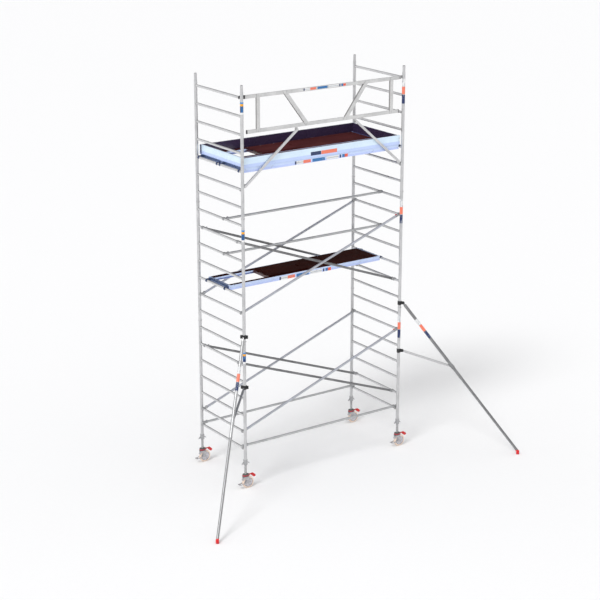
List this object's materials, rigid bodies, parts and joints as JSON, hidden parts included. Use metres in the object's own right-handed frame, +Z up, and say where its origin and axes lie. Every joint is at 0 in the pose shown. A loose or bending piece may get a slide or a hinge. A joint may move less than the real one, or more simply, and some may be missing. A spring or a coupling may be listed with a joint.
{
  "type": "mobile tower scaffold",
  "caption": "Rolling access tower of stacked ladder frames with braces, two decked levels, hatches, toe boards, a guard rail, braked castors and angled stabilisers.",
  "frame": {"origin": "on the floor, under the middle of the bounding box, stabilisers included", "axes": "+X along the tower towards the right-hand ladder frames, +Y away from the stabilisers, +Z up"},
  "size_m": [5.9728, 2.8004, 6.46],
  "materials": {
    "frame_tube": "satin drawn aluminium tube, light grey",
    "brace_tube": "satin drawn aluminium tube, a little darker",
    "trigger": "red moulded plastic",
    "beam": "light blue glossy coat, claws and end beams dark navy",
    "deck": "dark brown phenolic film-faced plywood",
    "toe_board": "light blue glossy coat outside, dark inside",
    "guard_rail": "satin rectangular tube",
    "leg": "zinc-plated threaded leg",
    "nut": "zinc-plated",
    "fork": "pressed steel with a crimson band on the housing",
    "wheel": "cream tyre on a lilac-grey rim",
    "pedal": "red moulded plastic",
    "clamp": "black",
    "stabiliser_tube": "satin drawn aluminium tube",
    "stabiliser_leg": "satin drawn aluminium tube with a red rubber-like foot"
  },
  "bodies": {
    "tower": {"ladder_frame_left_lower": "frame_tube", "ladder_frame_left_middle": "frame_tube", "ladder_frame_left_upper": "frame_tube", "ladder_frame_right_lower": "frame_tube", "ladder_frame_right_middle": "frame_tube", "ladder_frame_right_upper": "frame_tube", "brace_near_lower_rising": "brace_tube", "brace_near_lower_falling": "brace_tube", "brace_near_upper_rising": "brace_tube", "brace_near_upper_falling": "brace_tube", "brace_far_lower_rising": "brace_tube", "brace_far_lower_falling": "brace_tube", "brace_far_upper_rising": "brace_tube", "brace_far_upper_falling": "brace_tube", "base_brace_near": "brace_tube", "base_brace_far": "brace_tube", "hand_rail_low": "brace_tube", "hand_rail_high": "brace_tube", "brace_triggers": "trigger", "lower_platform_frame": "beam", "lower_platform_deck": "deck", "upper_platform_near_frame": "beam", "upper_platform_near_deck": "deck", "upper_platform_far_frame": "beam", "upper_platform_far_deck": "deck", "toe_board_near": "toe_board", "toe_board_far": "toe_board", "toe_board_left": "toe_board", "toe_board_right": "toe_board", "guard_rail_frame": "guard_rail"},
    "lower_platform_hatch_lid": {"lower_platform_hatch_lid": "deck"},
    "upper_platform_far_hatch_lid": {"upper_platform_far_hatch_lid": "deck"},
    "guard_rail_prop_left": {"guard_rail_prop_left": "guard_rail"},
    "guard_rail_prop_right": {"guard_rail_prop_right": "guard_rail"},
    "castor_near_left_leg": {"castor_near_left_leg": "leg"},
    "castor_near_left_nut": {"castor_near_left_nut": "nut"},
    "castor_near_left_fork": {"castor_near_left_fork": "fork"},
    "castor_near_left_wheel": {"castor_near_left_wheel": "wheel"},
    "castor_near_left_brake_pedal": {"castor_near_left_brake_pedal": "pedal"},
    "castor_near_right_leg": {"castor_near_right_leg": "leg"},
    "castor_near_right_nut": {"castor_near_right_nut": "nut"},
    "castor_near_right_fork": {"castor_near_right_fork": "fork"},
    "castor_near_right_wheel": {"castor_near_right_wheel": "wheel"},
    "castor_near_right_brake_pedal": {"castor_near_right_brake_pedal": "pedal"},
    "castor_far_left_leg": {"castor_far_left_leg": "leg"},
    "castor_far_left_nut": {"castor_far_left_nut": "nut"},
    "castor_far_left_fork": {"castor_far_left_fork": "fork"},
    "castor_far_left_wheel": {"castor_far_left_wheel": "wheel"},
    "castor_far_left_brake_pedal": {"castor_far_left_brake_pedal": "pedal"},
    "castor_far_right_leg": {"castor_far_right_leg": "leg"},
    "castor_far_right_nut": {"castor_far_right_nut": "nut"},
    "castor_far_right_fork": {"castor_far_right_fork": "fork"},
    "castor_far_right_wheel": {"castor_far_right_wheel": "wheel"},
    "castor_far_right_brake_pedal": {"castor_far_right_brake_pedal": "pedal"},
    "stabiliser_left_arm": {"stabiliser_left_clamps": "clamp", "stabiliser_left_outer_tube_and_arm": "stabiliser_tube"},
    "stabiliser_left_leg": {"stabiliser_left_inner_leg": "stabiliser_leg"},
    "stabiliser_right_arm": {"stabiliser_right_clamps": "clamp", "stabiliser_right_outer_tube_and_arm": "stabiliser_tube"},
    "stabiliser_right_leg": {"stabiliser_right_inner_leg": "stabiliser_leg"}
  },
  "joints": [
    {"name": "lower_platform_hatch_hinge", "type": "hinge", "parent": "tower", "child": "lower_platform_hatch_lid", "pos_m": [-0.675, 0.85121, 3.235], "axis": [0, -1, 0], "range_deg": [0, 180]},
    {"name": "upper_platform_far_hatch_hinge", "type": "hinge", "parent": "tower", "child": "upper_platform_far_hatch_lid", "pos_m": [-0.675, 1.01871, 5.195], "axis": [0, -1, 0], "range_deg": [0, 180]},
    {"name": "guard_rail_prop_left_pivot", "type": "hinge", "parent": "tower", "child": "guard_rail_prop_left", "pos_m": [-0.515, 0.07281, 5.676], "axis": [0, -1, 0], "range_deg": [0, 48]},
    {"name": "guard_rail_prop_right_pivot", "type": "hinge", "parent": "tower", "child": "guard_rail_prop_right", "pos_m": [0.605, 0.07281, 5.676], "axis": [0, 1, 0], "range_deg": [0, 48]},
    {"name": "castor_near_left_height", "type": "slide", "parent": "tower", "child": "castor_near_left_leg", "axis": [0, 0, -1], "range_m": [-0.14, 0.2]},
    {"name": "castor_near_left_nut_turn", "type": "hinge", "parent": "tower", "child": "castor_near_left_nut", "pos_m": [-1.525, 0.06121, 0.43], "axis": [0, 0, 1], "range_deg": [-6400, 9100]},
    {"name": "castor_near_left_swivel", "type": "hinge", "parent": "castor_near_left_leg", "child": "castor_near_left_fork", "pos_m": [-1.525, 0.06121, 0.23], "axis": [0, 0, 1], "continuous": true},
    {"name": "castor_near_left_roll", "type": "hinge", "parent": "castor_near_left_fork", "child": "castor_near_left_wheel", "pos_m": [-1.485, 0.06121, 0.1], "axis": [0, 1, 0], "continuous": true},
    {"name": "castor_near_left_brake", "type": "hinge", "parent": "castor_near_left_fork", "child": "castor_near_left_brake_pedal", "pos_m": [-1.467, 0.06121, 0.226], "axis": [0, 1, 0], "range_deg": [0, 10]},
    {"name": "castor_near_right_height", "type": "slide", "parent": "tower", "child": "castor_near_right_leg", "axis": [0, 0, -1], "range_m": [-0.14, 0.2]},
    {"name": "castor_near_right_nut_turn", "type": "hinge", "parent": "tower", "child": "castor_near_right_nut", "pos_m": [1.525, 0.06121, 0.43], "axis": [0, 0, 1], "range_deg": [-6400, 9100]},
    {"name": "castor_near_right_swivel", "type": "hinge", "parent": "castor_near_right_leg", "child": "castor_near_right_fork", "pos_m": [1.525, 0.06121, 0.23], "axis": [0, 0, 1], "continuous": true},
    {"name": "castor_near_right_roll", "type": "hinge", "parent": "castor_near_right_fork", "child": "castor_near_right_wheel", "pos_m": [1.565, 0.06121, 0.1], "axis": [0, 1, 0], "continuous": true},
    {"name": "castor_near_right_brake", "type": "hinge", "parent": "castor_near_right_fork", "child": "castor_near_right_brake_pedal", "pos_m": [1.583, 0.06121, 0.226], "axis": [0, 1, 0], "range_deg": [0, 10]},
    {"name": "castor_far_left_height", "type": "slide", "parent": "tower", "child": "castor_far_left_leg", "axis": [0, 0, -1], "range_m": [-0.14, 0.2]},
    {"name": "castor_far_left_nut_turn", "type": "hinge", "parent": "tower", "child": "castor_far_left_nut", "pos_m": [-1.525, 1.36121, 0.43], "axis": [0, 0, 1], "range_deg": [-6400, 9100]},
    {"name": "castor_far_left_swivel", "type": "hinge", "parent": "castor_far_left_leg", "child": "castor_far_left_fork", "pos_m": [-1.525, 1.36121, 0.23], "axis": [0, 0, 1], "continuous": true},
    {"name": "castor_far_left_roll", "type": "hinge", "parent": "castor_far_left_fork", "child": "castor_far_left_wheel", "pos_m": [-1.485, 1.36121, 0.1], "axis": [0, 1, 0], "continuous": true},
    {"name": "castor_far_left_brake", "type": "hinge", "parent": "castor_far_left_fork", "child": "castor_far_left_brake_pedal", "pos_m": [-1.467, 1.36121, 0.226], "axis": [0, 1, 0], "range_deg": [0, 10]},
    {"name": "castor_far_right_height", "type": "slide", "parent": "tower", "child": "castor_far_right_leg", "axis": [0, 0, -1], "range_m": [-0.14, 0.2]},
    {"name": "castor_far_right_nut_turn", "type": "hinge", "parent": "tower", "child": "castor_far_right_nut", "pos_m": [1.525, 1.36121, 0.43], "axis": [0, 0, 1], "range_deg": [-6400, 9100]},
    {"name": "castor_far_right_swivel", "type": "hinge", "parent": "castor_far_right_leg", "child": "castor_far_right_fork", "pos_m": [1.525, 1.36121, 0.23], "axis": [0, 0, 1], "continuous": true},
    {"name": "castor_far_right_roll", "type": "hinge", "parent": "castor_far_right_fork", "child": "castor_far_right_wheel", "pos_m": [1.565, 1.36121, 0.1], "axis": [0, 1, 0], "continuous": true},
    {"name": "castor_far_right_brake", "type": "hinge", "parent": "castor_far_right_fork", "child": "castor_far_right_brake_pedal", "pos_m": [1.583, 1.36121, 0.226], "axis": [0, 1, 0], "range_deg": [0, 10]},
    {"name": "stabiliser_left_swing", "type": "hinge", "parent": "tower", "child": "stabiliser_left_arm", "pos_m": [-1.525, 0.06121, 2.125], "axis": [0, 0, 1], "range_deg": [-30, 30]},
    {"name": "stabiliser_left_extend", "type": "slide", "parent": "stabiliser_left_arm", "child": "stabiliser_left_leg", "axis": [-0.4387, -0.4387, -0.7842], "range_m": [-0.5, 0.5]},
    {"name": "stabiliser_right_swing", "type": "hinge", "parent": "tower", "child": "stabiliser_right_arm", "pos_m": [1.525, 0.06121, 2.125], "axis": [0, 0, 1], "range_deg": [-30, 30]},
    {"name": "stabiliser_right_extend", "type": "slide", "parent": "stabiliser_right_arm", "child": "stabiliser_right_leg", "axis": [0.4387, -0.4387, -0.7842], "range_m": [-0.5, 0.5]}
  ],
  "couplings": [
    {"joint": "castor_near_left_nut_turn", "follows": "castor_near_left_height", "rad_per_m": 785.4},
    {"joint": "castor_near_right_nut_turn", "follows": "castor_near_right_height", "rad_per_m": 785.4},
    {"joint": "castor_far_left_nut_turn", "follows": "castor_far_left_height", "rad_per_m": 785.4},
    {"joint": "castor_far_right_nut_turn", "follows": "castor_far_right_height", "rad_per_m": 785.4}
  ]
}
